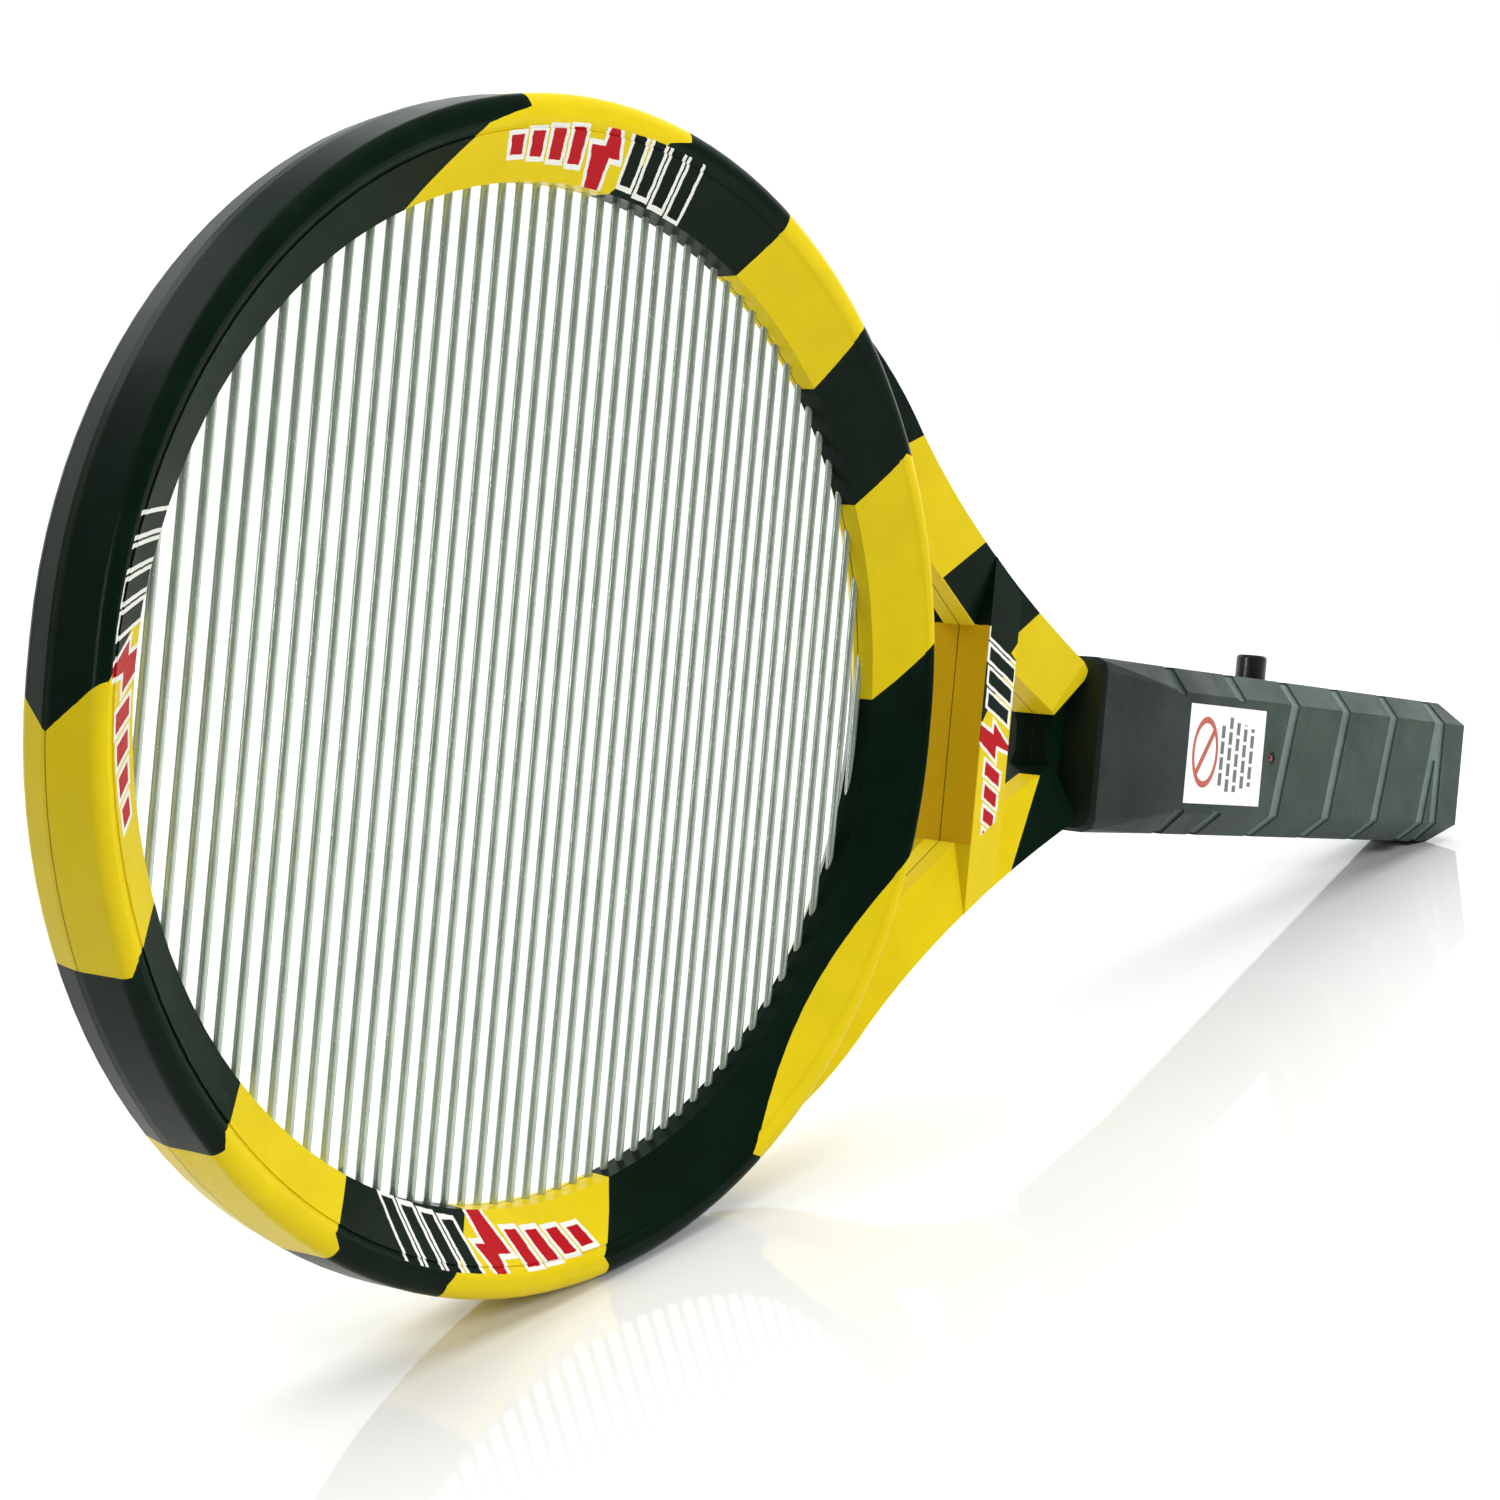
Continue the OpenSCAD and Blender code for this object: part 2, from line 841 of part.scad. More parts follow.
module positive_lead() {
    color("red")
        stand()
            battery_lead(-1);
}

module negative_lead() {
    color("black")
        stand()
            battery_lead(1);
}

// ---------- Electronics ----------

module circuit_board() {
    color(board_green)
        stand()
            difference() {
                translate([board_x[0], -board_hw, board_z])
                    cube([board_x[1] - board_x[0], 2 * board_hw, board_t]);
                for (place = board_posts)
                    translate([place[0], place[1], board_z - 1])
                        cylinder(d = 2.4, h = 4, $fn = 24);
                translate([button_x - 8, -2.6, board_z - 1])
                    cube([16, 20, 5]);
            }
}

module board_screws() {
    color(steel)
        stand()
            for (place = board_posts)
                translate([place[0], place[1], board_top])
                    mirror([0, 0, 1])
                        screw(3.8, 1.2, 1.6, 6);
}

core_size = [14, 13, 12];
core_x = 218;

module transformer_core() {
    color("dimgray")
        stand()
            translate([core_x, -core_size[1] / 2, board_top])
                difference() {
                    cube(core_size);
                    translate([2.4, -1, 2.4])
                        cube([core_size[0] - 4.8, core_size[1] + 2, core_size[2] - 4.8]);
                }
}

module transformer_coil() {
    color("gold")
        stand()
            translate([core_x + core_size[0] / 2, 0, board_top + core_size[2] / 2]) {
                rotate([90, 0, 0])
                    cylinder(r = 3.5, h = core_size[1] + 3, center = true, $fn = 48);
                for (y = [-core_size[1] / 2 - 1.6, core_size[1] / 2 + 0.6])
                    translate([0, y + 0.5, 0])
                        rotate([90, 0, 0])
                            cylinder(r = 4.5, h = 1, center = true, $fn = 48);
            }
}

module storage_capacitor() {
    color("saddlebrown")
        stand()
            translate([236, -13.5, board_top])
                hull() {
                    translate([0, 1, 0.6])
                        cube([5.4, 11, 9]);
                    translate([0.8, 0, 1.4])
                        cube([3.8, 13, 7.4]);
                }
}

module oscillator_transistor() {
    color(dark_plastic)
        stand()
            translate([270, -2, board_top]) {
                intersection() {
                    cylinder(r = 2.4, h = 5, $fn = 48);
                    translate([-3, -1.4, 0])
                        cube([6, 6, 6]);
                }
            }
}

module rectifier_diodes() {
    color(dark_plastic)
        stand()
            for (i = [0:2])
                translate([210.5, -5.4 + 5.2 * i, board_top + 1.45])
                    rotate([0, 90, 0])
                        cylinder(r = 1.35, h = 5, $fn = 32);
}

module resistors() {
    color("burlywood")
        stand()
            for (i = [0:3])
                translate([268.5 + 3.4 * i - (i > 1 ? 1.6 : 0), i > 1 ? 2.4 : -12.6, board_top + 1.3])
                    rotate([-90, 0, 0])
                        cylinder(r = 1.15, h = 6, $fn = 32);
}

module indicator_led() {
    color([0.7, 0.05, 0.05])
        stand()
            translate([led_x, 0.4, 0]) {
                translate([0, 0, 8.2])
                    cylinder(r = 1.5, h = grip_ht - 9.7, $fn = 32);
                translate([0, 0, grip_ht - 1.5])
                    sphere(r = 1.5, $fn = 32);
                translate([0, 0, 7.3])
                    cylinder(r = 1.9, h = 1, $fn = 32);
                for (side = [-0.8, 0.8])
                    translate([side, 0, board_top + 0.05])
                        cylinder(r = 0.25, h = 7.3 - board_top, $fn = 16);
            }
}

// ---------- Button ----------

module push_button() {
    color(dark_plastic)
        stand()
            translate([button_x, 0, 0])
                rotate([-90, 0, 0])
                    rotate_extrude()
                        polygon(concat(
                            [[0, switch_top_y - 0.6], [stem_r, switch_top_y - 0.6],
                             [stem_r, collar_y - button_flange_t],
                             [button_flange_r, collar_y - button_flange_t], [button_flange_r, collar_y],
                             [button_d / 2, collar_y]],
                            arc_points([button_d / 2 - 0.9, button_top_y - 0.9], 0.9, 0, 90, 6),
                            [[0, button_top_y]]
                        ));
}

module button_spring() {
    turns = 4;
    steps = 14 * turns;
    y0 = switch_top_y + spring_wire_r + 0.05;
    y1 = collar_y - button_flange_t - spring_wire_r - 0.05;
    coil = [
        for (i = [0:steps]) [
            button_x + spring_r * cos(360 * turns * i / steps),
            y0 + (y1 - y0) * i / steps,
            spring_r * sin(360 * turns * i / steps)
        ]
    ];
    color(steel)
        stand()
            tube(coil, spring_wire_r, [0, 1, 0], 6);
}

module switch_housing() {
    color(dark_plastic)
        stand()
            difference() {
                translate([button_x - 6, -2, -6])
                    cube([12, switch_top_y + 2, 12]);
                translate([button_x, switch_top_y - button_travel - 1.2, 0])
                    rotate([-90, 0, 0])
                        cylinder(r = stem_r + 0.5, h = 12, $fn = 32);
            }
}

module switch_contacts() {
    color(copper)
        stand()
            for (side = [-1, 1])
                translate([button_x + side * 3 - 1.1, -5.4, board_top])
                    cube([2.2, 3.4, 0.5]);
}

module instruction_label() {
    color("white")
        stand()
            translate([label_x + 0.1, -label_size[1] / 2 + 0.1, grip_ht - label_t])
                cube([label_size[0] - 0.2, label_size[1] - 0.2, label_t]);
}

head_front_shell();
head_back_shell();
live_rods();
ground_rods();
live_bus_wire();
ground_bus_wire();
live_lead();
ground_lead();
head_screws();
handle_front_shell();
handle_back_shell();
handle_screws();
battery_door();
upper_cell();
lower_cell();
rear_contact_plate();
rear_contact_spring();
front_contact_plates();
front_contact_spring();
positive_lead();
negative_lead();
circuit_board();
board_screws();
transformer_core();
transformer_coil();
storage_capacitor();
oscillator_transistor();
rectifier_diodes();
resistors();
indicator_led();
push_button();
button_spring();
switch_housing();
switch_contacts();
instruction_label();
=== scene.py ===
import json
import math

import bpy
from mathutils import Euler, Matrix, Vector

MM = 0.001

# ---------- Frame ----------

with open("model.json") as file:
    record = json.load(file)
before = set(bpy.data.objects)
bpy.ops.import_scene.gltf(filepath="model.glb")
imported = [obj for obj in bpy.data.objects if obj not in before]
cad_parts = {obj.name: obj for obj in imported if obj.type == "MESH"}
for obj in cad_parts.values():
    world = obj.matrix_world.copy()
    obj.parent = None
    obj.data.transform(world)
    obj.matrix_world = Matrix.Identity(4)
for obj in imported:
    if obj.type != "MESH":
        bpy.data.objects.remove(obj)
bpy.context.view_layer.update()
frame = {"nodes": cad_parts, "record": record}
nodes = frame["nodes"]
record = frame["record"]

# The racket's own axes: U runs down the handle, V runs along the rods and W runs out of the front
mounts = {m["name"]: m for m in record["mounts"]}
joints = {j["name"]: j for j in record["behaviour"]["joints"]}
U = Vector(joints["door_slide"]["axis"]).normalized()
V = -Vector(joints["button_press"]["axis"]).normalized()
W = U.cross(V)
# In millimetres on those axes: the mount on the handle's back, and the handle's section, whose corners are
# cut where y and z add up to GRIP_CORNER
BACK_MOUNT_X = 225
GRIP_HALF_HEIGHT = 13.5
GRIP_HALF_WIDTH = 20.2
GRIP_CORNER = 28
ORIGIN = Vector(mounts["handle_back"]["pos_m"]) + (W * GRIP_HALF_HEIGHT - U * BACK_MOUNT_X) * MM


# ---------- Node arithmetic ----------

class Val:
    """A number or a socket of one node tree. Arithmetic on it adds Math nodes."""

    def __init__(self, tree, value):
        self.tree = tree
        self.value = value

    def _op(self, kind, *others):
        node = self.tree.nodes.new("ShaderNodeMath")
        node.operation = kind
        for i, v in enumerate((self, *others)):
            v = v.value if isinstance(v, Val) else v
            if isinstance(v, (int, float)):
                node.inputs[i].default_value = v
            else:
                self.tree.links.new(v, node.inputs[i])
        return Val(self.tree, node.outputs[0])

    def __add__(self, o):
        return self._op("ADD", o)

    __radd__ = __add__

    def __sub__(self, o):
        return self._op("SUBTRACT", o)

    def __rsub__(self, o):
        return Val(self.tree, o)._op("SUBTRACT", self)

    def __mul__(self, o):
        return self._op("MULTIPLY", o)

    __rmul__ = __mul__

    def __truediv__(self, o):
        return self._op("DIVIDE", o)

    def __gt__(self, o):
        return self._op("GREATER_THAN", o)

    def __lt__(self, o):
        return self._op("LESS_THAN", o)

    def __and__(self, o):
        return self._op("MULTIPLY", o)

    def __or__(self, o):
        return self._op("MAXIMUM", o)

    def __invert__(self):
        return 1 - self

    def abs(self):
        return self._op("ABSOLUTE")

    def min(self, o):
        return self._op("MINIMUM", o)

    def max(self, o):
        return self._op("MAXIMUM", o)

    def floor(self):
        return self._op("FLOOR")

    def fract(self):
        return self._op("FRACT")

    def hypot(self, o):
        return (self * self + o * o)._op("SQRT")

    def atan2(self, o):
        return self._op("ARCTAN2", o)

    def between(self, low, high):
        return (self > low) & (self < high)


class Paint:
    """One Principled material with helpers for procedural colour, roughness and bump."""

    def __init__(self, name, roughness=0.4, metallic=0.0, **sockets):
        self.mat = bpy.data.materials.new(name)
        self.mat.use_nodes = True
        self.tree = self.mat.node_tree
        self.shader = self.tree.nodes["Principled BSDF"]
        self.set("Roughness", roughness)
        self.set("Metallic", metallic)
        for key, value in sockets.items():
            self.set(key.replace("_", " "), value)
        self.coords = self.tree.nodes.new("ShaderNodeTexCoord").outputs["Object"]

    def set(self, socket, value):
        if isinstance(value, Val):
            value = value.value
        if isinstance(value, bpy.types.NodeSocket):
            self.tree.links.new(value, self.shader.inputs[socket])
        else:
            self.shader.inputs[socket].default_value = value

    def racket(self):
        """The racket's x, y and z at the shaded point, in millimetres."""
        shift = self.tree.nodes.new("ShaderNodeVectorMath")
        shift.operation = "SUBTRACT"
        self.tree.links.new(self.coords, shift.inputs[0])
        shift.inputs[1].default_value = ORIGIN
        out = []
        for axis in (U, V, W):
            dot = self.tree.nodes.new("ShaderNodeVectorMath")
            dot.operation = "DOT_PRODUCT"
            self.tree.links.new(shift.outputs[0], dot.inputs[0])
            dot.inputs[1].default_value = axis * 1000
            out.append(Val(self.tree, dot.outputs["Value"]))
        return out

    def noise(self, size_mm, detail=2.0, rough=0.5, stretch=(1, 1, 1)):
        """A noise from about 0 to 1 with features of that size."""
        mapping = self.tree.nodes.new("ShaderNodeMapping")
        mapping.inputs["Scale"].default_value = stretch
        self.tree.links.new(self.coords, mapping.inputs["Vector"])
        node = self.tree.nodes.new("ShaderNodeTexNoise")
        node.inputs["Scale"].default_value = 1000 / size_mm
        node.inputs["Detail"].default_value = detail
        node.inputs["Roughness"].default_value = rough
        self.tree.links.new(mapping.outputs[0], node.inputs["Vector"])
        return Val(self.tree, node.outputs[0])

    def ramp(self, fac, low, high, start=0.3, end=0.7):
        """fac from start to end spread over low to high."""
        node = self.tree.nodes.new("ShaderNodeMapRange")
        self.tree.links.new(fac.value, node.inputs["Value"])
        node.inputs["From Min"].default_value = start
        node.inputs["From Max"].default_value = end
        node.inputs["To Min"].default_value = low
        node.inputs["To Max"].default_value = high
        return Val(self.tree, node.outputs["Result"])

    def mix(self, fac, a, b):
        """Colour a where fac is 0 and colour b where it is 1."""
        node = self.tree.nodes.new("ShaderNodeMix")
        node.data_type = "RGBA"
        self.tree.links.new(fac.value, node.inputs[0])
        for socket, colour in ((node.inputs[6], a), (node.inputs[7], b)):
            if isinstance(colour, bpy.types.NodeSocket):
                self.tree.links.new(colour, socket)
            else:
                socket.default_value = (*colour, 1)
        return node.outputs[2]

    def bump(self, height, depth_mm, strength=1.0):
        node = self.tree.nodes.new("ShaderNodeBump")
        node.inputs["Strength"].default_value = strength
        node.inputs["Distance"].default_value = depth_mm * MM
        self.tree.links.new(height.value, node.inputs["Height"])
        self.tree.links.new(node.outputs[0], self.shader.inputs["Normal"])


def srgb(r, g, b):
    """A colour given as 0 to 255 in display values."""
    return tuple((c / 255 / 12.92) if c / 255 <= 0.04045 else ((c / 255 + 0.055) / 1.055) ** 2.4
                 for c in (r, g, b))


# ---------- Head: stripes ----------

# Every length is in millimetres and every angle in degrees
LIP_R, CREST_R, SIDE_R = 90.4, 100.4, 102.2
FACE_Z = 3.9
SIDE_TOP_Z = 12.2
SEAM_HALF_W = 0.16
WOBBLE = 0.4
# The angles run up from this one for a full turn
LEAST_ANGLE = -145
# The edge that turns by SEAM_SHIFT on its way down the side to the seam
SEAM_SHIFTED, SEAM_SHIFT = (171, 181.3, 181.3), 4.7
# The one stripe that a curve cuts: its middle's angle, the curve's least radius and how fast that grows
CURVE_ANGLE, CURVE_LEAST_R, CURVE_GROWTH = -36, 93.3, 0.0165
# The yellow stripes of the ring, as their first edge, their last edge and whether the curve cuts them
RING_STRIPES = [
    (SEAM_SHIFTED, (203, 204.9, 206.4), False),
    ((-135, -136.2, -134.9), (-116.5, -119, -117.8), False),
    ((-98, -102.3, -103.1), (-75, -81.3, -80.7), False),
    ((-57, -57, -56), (-14, -14, -14), True),
    ((3.5, 10.5, 10), (29.5, 33.7, 32.8), False),
    ((46.5, 49.8, 49.8), (66.5, 66.8, 66.8), False),
    ((90, 86.6, 83.6), (121, 111.8, 106.1), False),
]

# The straight edges between colours on the arms, the bridge and the neck, each as (a, b, c): a point is
# past the edge where x * a + y * b is more than c
RING_GAP_WALL = (0.569, 0.822, 90.4)
NECK_GAP_WALL = (0.449, 0.894, 75.9)
UPPER_ARM_EDGES = ((0.703, -0.711, 54.9), (0.7376, -0.675, 85.7))
LOWER_ARM_EDGE = (0.860, -0.510, 135.4)
BRIDGE_END = (0.614, 1, 100.2)
BRIDGE_EDGE = (-0.8505, 0.5258, -104.3)
NECK_EDGE = (0.7694, -0.6387, 116.7)
BRIDGE_X = (124.1, 135.9)
BRIDGE_WALL_X = (124.3, 135.3)
BRIDGE_FRONT_Z = 8.1
ARM_START_X = 88
ARM_START_R = 103.6
ARM_START_STRETCH = 2.8
LAST_STRIPE_ANGLE = 32.8

# The printed ornaments of the ring: each one's angle and the radius of its middle
RING_ORNAMENTS = ((94, 96.3), (-96, 96.3), (180, 95))
ORNAMENT_END_R = 99.8
BAR_STEP = 4.8
BAR_HALF_W, BAR_OUTLINE_HALF_W = 1.45, 2.2
FIRST_BAR_HALF_L, BAR_GROWTH = 1.6, 0.42
OUTLINE_W = 0.8

YELLOW = srgb(226, 200, 24)
BLACK = srgb(7, 22, 13)
RED = srgb(180, 18, 28)
WHITE = srgb(235, 235, 228)


def past(edge, x, y):
    """1 past that straight edge and 0 before it."""
    return x * edge[0] + y * edge[1] > edge[2]


def bolt_shape(a, b, grown):
    """A lightning bolt round a = b = 0 as two slanted wedges, grown by that much on every side and by a
    quarter more at its lower tip."""
    along = a - b * 0.5
    half_w = 2.3 + grown
    upper = b.between(-0.6 - grown, 6.6 + grown) & ((along + 1.3).abs() < half_w - (b - 1) * 0.12)
    lower_b = b.between(-7.6 - grown * 1.25, 0.9 + grown)
    lower = lower_b & ((along - 1.2).abs() < half_w + (b - 0.9) * 0.27)
    return upper | lower


def bars_and_bolt(a, b, flip):
    """A generic printed ornament round a = b = 0: slanted bars that grow from small to large,
    with a lightning bolt among them. Returns its outline, its red part and its black part."""
    a = a * flip
    b = b * flip
    slanted = a - b * 0.45
    place = (slanted + 5 * BAR_STEP) / BAR_STEP
    count = place.floor()
    inside = (place.fract() - 0.5).abs() * BAR_STEP
    past_height = b.abs() - (count * BAR_GROWTH + FIRST_BAR_HALF_L)
    shown = count.between(-0.5, 9.5) & ~count.between(3.5, 5.5)
    bar = shown & (inside < BAR_HALF_W) & (past_height < 0)
    bar_outline = shown & (inside < BAR_OUTLINE_HALF_W) & (past_height < OUTLINE_W)
    bolt = bolt_shape(a, b, 0)
    outline = bar_outline | bolt_shape(a, b, OUTLINE_W)
    return outline, (bar & (count < 3.5)) | bolt, bar & (count > 3.5)


def head_paint():
    p = Paint("yellow_black_plastic", Specular_IOR_Level=0.05, Coat_Weight=0.06, Coat_Roughness=0.12)
    x, y, z = p.racket()
    half = z.abs()
    ring_gap_wall = (x < BRIDGE_WALL_X[0]) & ~past(RING_GAP_WALL, x, y.abs())
    neck_gap_wall = (x > BRIDGE_WALL_X[1]) & ~past(NECK_GAP_WALL, x, y.abs())
    wobble = (p.noise(2.0, 3) - 0.5) * WOBBLE
    x = x + wobble
    y = y + wobble

    # The ring: each boundary is an angle at the lip, at the crest and on the outer side, in degrees
    radius = x.hypot(y)
    inner = (radius.min(CREST_R) - CREST_R) * (1 / (CREST_R - LIP_R))
    outer = (radius.min(SIDE_R) - CREST_R).max(0) * (1 / (SIDE_R - CREST_R))
    angle = y.atan2(x) * (180 / math.pi)
    angle = angle + (angle < LEAST_ANGLE) * 360
    down_side = 1 - p.ramp(half, 0, 1, 0, SIDE_TOP_Z)
    ring_yellow = None
    from_middle = angle - CURVE_ANGLE
    curve_r = from_middle * from_middle * CURVE_GROWTH + CURVE_LEAST_R
    for first, last, curved in RING_STRIPES:
        edges = [inner * (e[1] - e[0]) + outer * (e[2] - e[1]) + e[1] for e in (first, last)]
        if first is SEAM_SHIFTED:
            edges[0] = edges[0] + down_side * SEAM_SHIFT
        stripe = (angle > edges[0]) & (angle < edges[1])
        if curved:
            stripe = stripe & ((radius - curve_r) > 0)
        ring_yellow = stripe if ring_yellow is None else ring_yellow | stripe

    # The arms, the bridge and the neck
    beyond = (x > ARM_START_X) & (x.hypot((y.abs() - ARM_START_STRETCH).max(0)) > ARM_START_R)
    outside_band = ~past(UPPER_ARM_EDGES[0], x, y) | past(UPPER_ARM_EDGES[1], x, y)
    upper_arm = (y > 0) & (angle < LAST_STRIPE_ANGLE) & outside_band
    lower_arm = (y < 0) & ~past(LOWER_ARM_EDGE, x, y) & ~(neck_gap_wall & (z < 0))
    bridge = x.between(*BRIDGE_X) & ~past(BRIDGE_END, x, y.abs())
    bridge_yellow = (half < BRIDGE_FRONT_Z) | ~past(BRIDGE_EDGE, x, y)
    arm_yellow = (bridge & bridge_yellow) | (~bridge & (upper_arm | lower_arm))
    neck = past(NECK_EDGE, x, y.abs())
    inner_wall = ring_gap_wall & (x < BRIDGE_WALL_X[0])
    yellow = (~beyond & ring_yellow) | (beyond & ~neck & (arm_yellow | inner_wall))

    # Printed ornaments: three on the ring's face and one down the bridge
    face = half > FACE_Z
    outline, red, black = [bridge & (half > BRIDGE_FRONT_Z) & m for m in bars_and_bolt(y + 1, 130 - x, 1)]
    for turn, middle_r in RING_ORNAMENTS:
        cos, sin = math.cos(math.radians(turn)), math.sin(math.radians(turn))
        ahead = x * cos + y * sin
        along = (y * cos - x * sin).atan2(ahead) * middle_r
        across = radius - middle_r
        near = (ahead > 60) & face & (radius < ORNAMENT_END_R)
        parts = [near & m for m in bars_and_bolt(along, across, -1)]
        outline = outline | parts[0]
        red = red | parts[1]
        black = black | parts[2]

    cloud = p.noise(9, 4)
    yellow_tone = p.mix(p.ramp(cloud, 0, 1), YELLOW, tuple(c * 0.93 for c in YELLOW))
    black_tone = p.mix(p.ramp(cloud, 0, 1), BLACK, tuple(c * 1.5 for c in BLACK))
    # Painted shade: the bridge's wall that faces the ring is mixed half way to a darker orange
    yellow_tone = p.mix((bridge & (x < BRIDGE_X[0] + 0.5)) * 0.5, yellow_tone, srgb(206, 140, 14))
    colour = p.mix(yellow, black_tone, yellow_tone)
    colour = p.mix(outline, colour, WHITE)
    colour = p.mix(black, colour, BLACK)
    colour = p.mix(red, colour, RED)
    seam = half < SEAM_HALF_W
    colour = p.mix(seam * 0.7, colour, srgb(38, 34, 14))
    p.set("Base Color", colour)
    smear = p.noise(26, 5, 0.62)
    p.set("Roughness", p.ramp(smear, 0.24, 0.36))
    grain = p.noise(0.55, 2)
    p.bump(grain * 0.35 - seam * 6, 0.05, 0.55)
    return p.mat


# ---------- Handle ----------

# The spiral groove: how far in from the section its floor lies, and where along the handle it runs
GROOVE_DEPTH = (-1.2, -0.35)
GROOVE_X = (198, 352)
# Painted shade: the grip's colour is darkened most before the first of these and has its own colour past
# the second
PAINTED_SHADE_X = (185, 245)
GRIP_SEAM_HALF_W = 0.14


def grip_paint():
    p = Paint("grip_plastic", Specular_IOR_Level=0.3)
    x, y, z = p.racket()
    side = y.abs() - GRIP_HALF_WIDTH
    front = z.abs() - GRIP_HALF_HEIGHT
    corner = (y.abs() + z.abs() - GRIP_CORNER) * math.sqrt(0.5)
    depth = side.max(front).max(corner)
    groove = depth.between(*GROOVE_DEPTH) & x.between(*GROOVE_X)
    grain = p.noise(0.42, 3, 0.65)
    cloud = p.noise(14, 5, 0.6)
    dark = p.mix(p.ramp(grain, 0, 1, 0.35, 0.65), srgb(38, 52, 44), srgb(62, 78, 69))
    pale = p.mix(p.ramp(grain, 0, 1, 0.35, 0.65), srgb(104, 122, 115), srgb(122, 140, 132))
    colour = p.mix(groove, dark, pale)
    colour = p.mix(p.ramp(cloud, 0, 0.3), colour, srgb(40, 52, 48))
    # Painted shade: the grip is darker towards its front end by the neck
    colour = p.mix(p.ramp(x, 0.95, 0, *PAINTED_SHADE_X), colour, srgb(10, 24, 18))
    seam = z.abs() < GRIP_SEAM_HALF_W
    colour = p.mix(seam, colour, srgb(12, 15, 14))
    p.set("Base Color", colour)
    p.set("Roughness", p.ramp(cloud, 0.46, 0.60) + groove * 0.04)
    p.bump(grain - seam * 4, 0.07, 0.7)
    return p.mat


# The sticker's print: the ring's centre and half sizes, and its grey rows
SIGN_X, SIGN_Y = 212.9, 0.5
SIGN_HALF_X, SIGN_HALF_Y = 5.9, 8.2
ROWS_START_X = 219.3
ROW_STEP = 3.7
WORD_STEP = 3.9


def label_paint():
    p = Paint("label_paper", Coat_Weight=0.2, Coat_Roughness=0.2)
    x, y, _ = p.racket()
    across = (x - SIGN_X) / SIGN_HALF_X
    up = (y - SIGN_Y) / SIGN_HALF_Y
    reach = across.hypot(up)
    ring = reach.between(0.86, 1.06)
    bar = ((across - up).abs() < 0.17) & (reach < 1)
    row = (x - ROWS_START_X) / ROW_STEP
    count = row.floor()
    wide = 9.6 - (count * 2.3 + 0.7).fract() * 2.6
    word = ((y / WORD_STEP + count * 0.37).fract() - 0.5).abs() < 0.4
    printed = ((row.fract() - 0.5).abs() < 0.24) & (y.abs() < wide)
    rows = count.between(-0.5, 4.5) & printed & word
    print_noise = p.noise(0.3, 2)
    paper = p.mix(p.ramp(p.noise(6, 3), 0, 1), srgb(252, 252, 250), srgb(244, 246, 243))
    colour = p.mix(rows, paper, srgb(96, 98, 98))
    colour = p.mix(ring | bar, colour, srgb(186, 76, 54))
    p.set("Base Color", colour)
    p.set("Roughness", p.ramp(print_noise, 0.36, 0.46))
    p.bump(p.noise(1.4, 2), 0.02, 0.3)
    return p.mat


# ---------- Other materials ----------

def moulded(name, tone, rough, size=0.5, depth=0.03, **sockets):
    """A moulded plastic, lacquer or rubber in one tone, with a fine grain and faint clouding."""
    p = Paint(name, **sockets)
    cloud = p.noise(6, 4)
    grain = p.noise(size, 3)
    p.set("Base Color", p.mix(p.ramp(cloud, 0, 1), tone, tuple(c * 0.82 for c in tone)))
    p.set("Roughness", p.ramp(grain, rough - 0.05, rough + 0.06))
    p.bump(grain, depth, 0.5)
    return p.mat


def metal(name, tone, rough, stretch=(1, 1, 1), metallic=1.0):
    """A bare metal with fine drawn or rolled marks."""
    p = Paint(name, metallic=metallic)
    marks = p.noise(0.6, 4, 0.6, stretch)
    cloud = p.noise(8, 4)
    p.set("Base Color", p.mix(p.ramp(cloud, 0, 1), tone, tuple(c * 0.8 for c in tone)))
    p.set("Roughness", p.ramp(marks, rough - 0.06, rough + 0.10))
    p.bump(marks, 0.012, 0.5)
    return p.mat


# Where along the handle the jackets of the cells at +y and at -y run, and where their copper bands start
UPPER_JACKET_X, LOWER_JACKET_X = (301.2, 349.6), (298.4, 346.8)
UPPER_BAND_X, LOWER_BAND_X = 336, 311


def cell_paint():
    p = Paint("cell_jacket", Coat_Weight=0.3, Coat_Roughness=0.1)
    x, y, _ = p.racket()
    upper = y > 0
    band = (upper & (x > UPPER_BAND_X)) | (~upper & (x < LOWER_BAND_X))
    colour = p.mix(band, srgb(34, 36, 40), srgb(198, 122, 44))
    upper_bare = upper & ~x.between(*UPPER_JACKET_X)
    lower_bare = ~upper & ~x.between(*LOWER_JACKET_X)
    bare = upper_bare | lower_bare
    p.set("Base Color", p.mix(bare, colour, srgb(190, 192, 196)))
    p.set("Metallic", bare * 1.0)
    p.set("Roughness", p.ramp(p.noise(3, 3), 0.28, 0.4))
    return p.mat


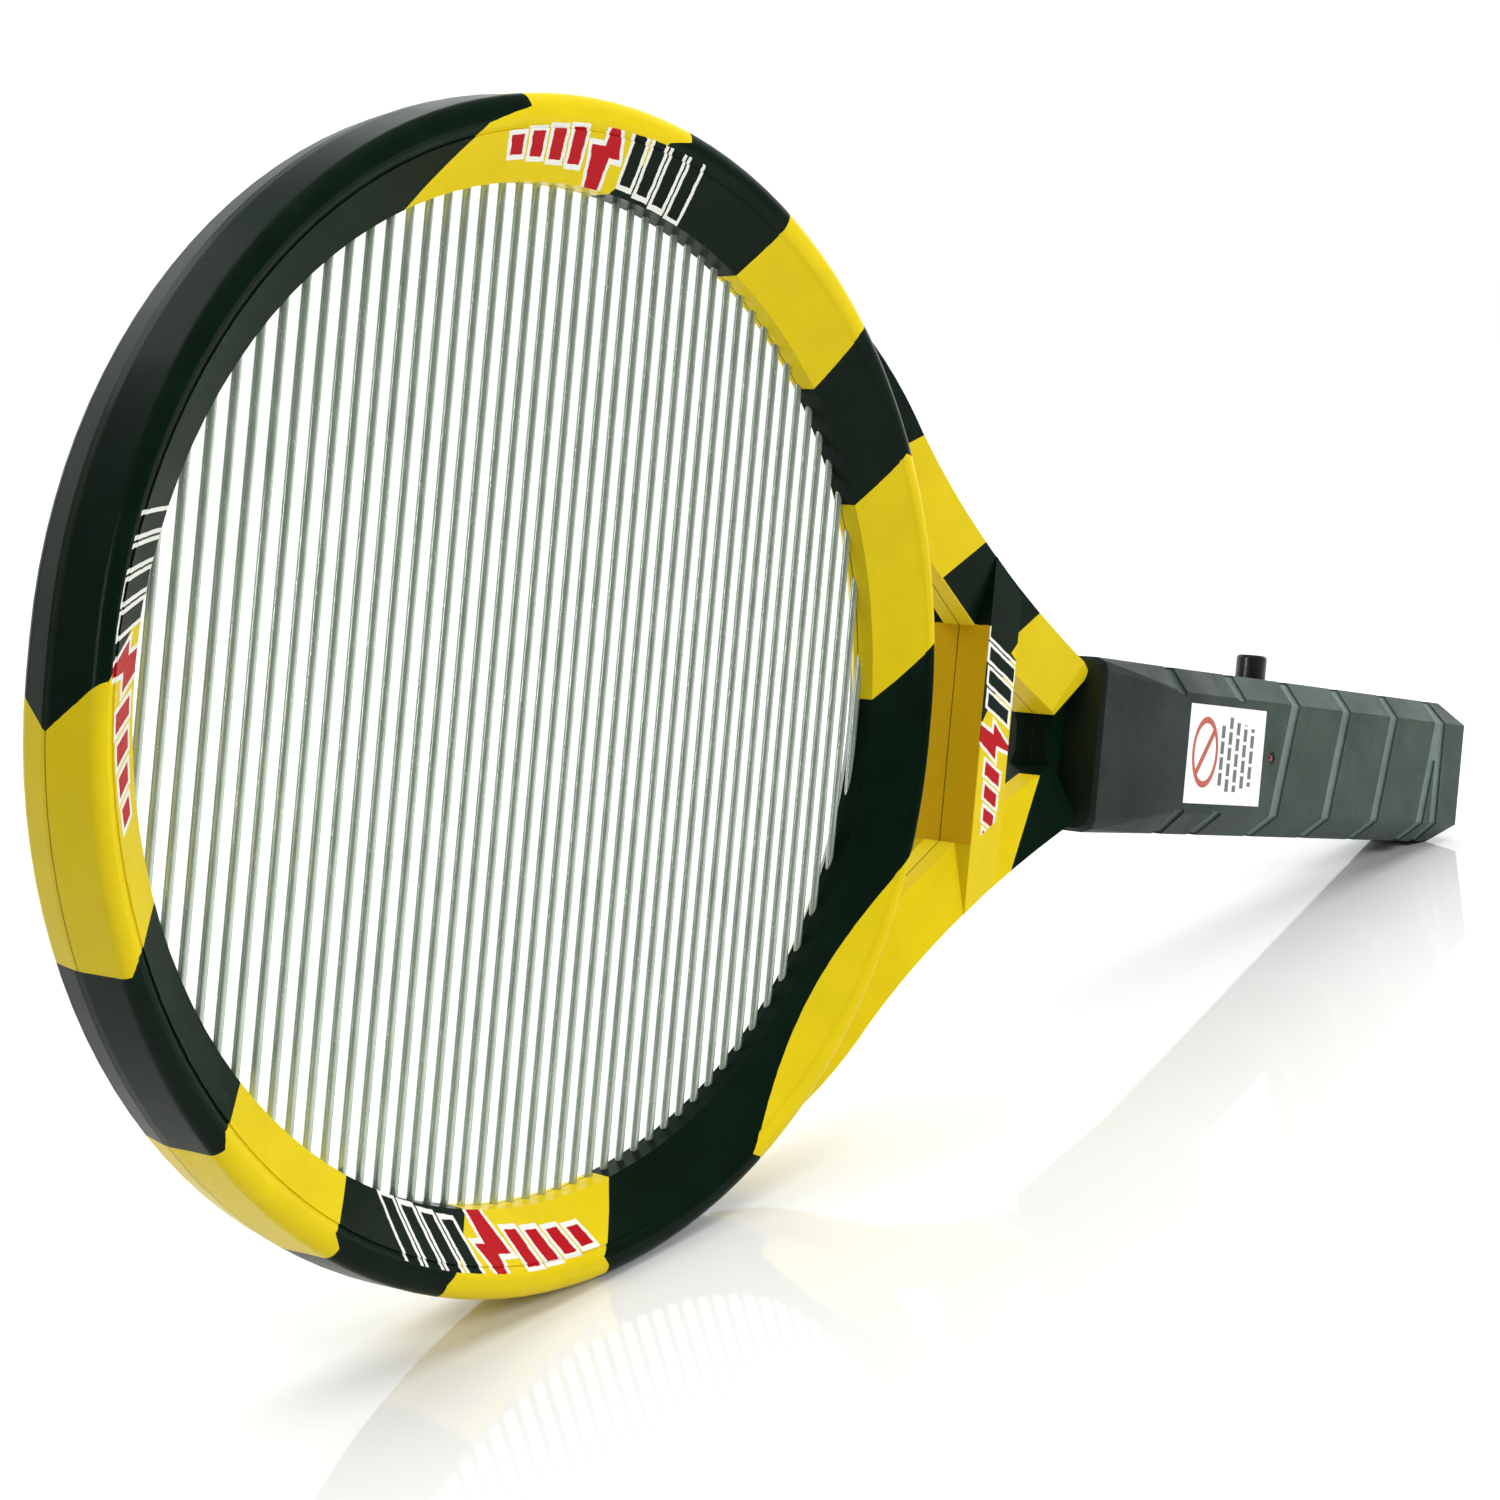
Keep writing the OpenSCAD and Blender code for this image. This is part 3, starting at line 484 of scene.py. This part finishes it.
STEEL = srgb(206, 220, 204)
along_rods = tuple(1 - 0.94 * abs(c) for c in V)
paints = {
    "yellow_black_plastic": head_paint(),
    "grip_plastic": grip_paint(),
    "label_paper": label_paint(),
    "button_plastic": moulded("button_plastic", srgb(20, 21, 22), 0.36, Coat_Weight=0.15),
    "black_plastic": moulded("black_plastic", srgb(30, 30, 32), 0.5),
    "polished_steel": metal("polished_steel", STEEL, 0.2, along_rods, metallic=0.7),
    "spring_steel": metal("spring_steel", srgb(188, 190, 194), 0.26),
    "screw_steel": metal("screw_steel", srgb(176, 178, 180), 0.32),
    "copper_wire": metal("copper_wire", srgb(208, 138, 88), 0.3),
    "red_insulation": moulded("red_insulation", srgb(170, 22, 18), 0.4, 0.8, 0.01),
    "black_insulation": moulded("black_insulation", srgb(24, 24, 26), 0.4, 0.8, 0.01),
    "cell_jacket": cell_paint(),
    "board_laminate": moulded("board_laminate", srgb(22, 92, 52), 0.42, 0.3, 0.02),
    "ferrite": moulded("ferrite", srgb(52, 53, 56), 0.55, 0.3, 0.04),
    "coil_tape": moulded("coil_tape", srgb(206, 176, 62), 0.38, 1.2, 0.03),
    "capacitor_epoxy": moulded("capacitor_epoxy", srgb(150, 58, 30), 0.3, 1.5, 0.04),
    "component_epoxy": moulded("component_epoxy", srgb(26, 26, 28), 0.52, 0.3, 0.03),
    "resistor_body": moulded("resistor_body", srgb(208, 176, 132), 0.36, 0.9, 0.03),
    "red_lens": moulded("red_lens", srgb(150, 10, 12), 0.14, 2.0, 0.01,
                        Transmission_Weight=0.35, Coat_Weight=0.6),
}
for part in record["subparts"]:
    mesh = nodes[part["node"]].data
    mesh.materials.clear()
    mesh.materials.append(paints[part["material_slot"]])

# ---------- Studio ----------

FLOOR_HALF = 6.0

floor_mesh = bpy.data.meshes.new("studio_floor")
floor_corners = [(i * FLOOR_HALF, j * FLOOR_HALF, 0) for i, j in ((-1, -1), (1, -1), (1, 1), (-1, 1))]
floor_mesh.from_pydata(floor_corners, [], [(0, 1, 2, 3)])
floor = bpy.data.objects.new("studio_floor", floor_mesh)
bpy.context.scene.collection.objects.link(floor)
floor_paint = Paint("studio_white", 0.05, Specular_IOR_Level=0.9)
floor_paint.set("Base Color", (0.87, 0.87, 0.86, 1))
floor_mesh.materials.append(floor_paint.mat)

world = bpy.data.worlds.new("studio")
bpy.context.scene.world = world
world.use_nodes = True
world_tree = world.node_tree
background = world_tree.nodes["Background"]
direction = world_tree.nodes.new("ShaderNodeTexCoord").outputs["Generated"]


def facing(vector, start, end):
    """1 towards the vector, falling to 0 away from it."""
    dot = world_tree.nodes.new("ShaderNodeVectorMath")
    dot.operation = "DOT_PRODUCT"
    world_tree.links.new(direction, dot.inputs[0])
    dot.inputs[1].default_value = vector
    ease = world_tree.nodes.new("ShaderNodeMapRange")
    ease.interpolation_type = "SMOOTHSTEP"
    ease.inputs["From Min"].default_value = start
    ease.inputs["From Max"].default_value = end
    world_tree.links.new(dot.outputs["Value"], ease.inputs["Value"])
    return Val(world_tree, ease.outputs["Result"])


# White low behind the object, dim behind the camera, and softly bright overhead
behind = facing((0.755, 0.656, 0), 0.05, 0.5)
above = facing((0, 0, 1), 0.35, 0.95)
low = facing((0, 0, -1), -0.7, -0.42)
level = (behind * low * 1.1).max(above * 0.25) + 0.1
world_tree.links.new(level.value, background.inputs["Strength"])
background.inputs["Color"].default_value = (0.97, 1.0, 0.98, 1)


def softbox(name, at, towards, size, power, diffuse=True, glossy=True):
    light = bpy.data.lights.new(name, "AREA")
    light.shape = "RECTANGLE"
    light.size, light.size_y = size
    light.energy = power
    lamp = bpy.data.objects.new(name, light)
    lamp.location = at
    lamp.visible_diffuse = diffuse
    lamp.visible_glossy = glossy
    lamp.rotation_euler = (Vector(towards) - Vector(at)).to_track_quat("-Z", "Y").to_euler()
    bpy.context.scene.collection.objects.link(lamp)


softbox("key_light", (0.1, -1.9, 1.15), (-0.1, 0, 0.1), (1.1, 0.8), 27, glossy=False)
softbox("top_light", (0.35, 0.5, 1.8), (0.3, 0.35, 0), (3.4, 3.0), 66, glossy=False)
softbox("rim_light", (-0.3, 1.7, 1.4), (-0.2, 0, 0.18), (0.9, 0.5), 2.5, diffuse=False)
softbox("low_light", (1.5, 0.2, 0.2), (-0.2, 0, 0.08), (0.45, 0.6), 1.2, diffuse=False)
softbox("side_light", (-1.8, 0.5, 0.7), (-0.2, 0, 0.1), (0.12, 0.6), 7, diffuse=False)

# ---------- Camera ----------

# The viewing angle: low, in front of the ring and to its left, looking down the handle
camera_data = bpy.data.cameras.new("camera")
camera_data.sensor_width = 36
camera_data.lens = 57.14
camera_data.shift_x = -0.0022
camera_data.shift_y = -0.0259
camera = bpy.data.objects.new("camera", camera_data)
camera.location = (-0.41829, -0.30231, 0.18137)
camera.rotation_euler = Euler([math.radians(a) for a in (79.059, 3.774, -49.7535)])
bpy.context.scene.collection.objects.link(camera)
bpy.context.scene.camera = camera
bpy.context.scene.view_settings.view_transform = "Standard"

bpy.context.view_layer.update()
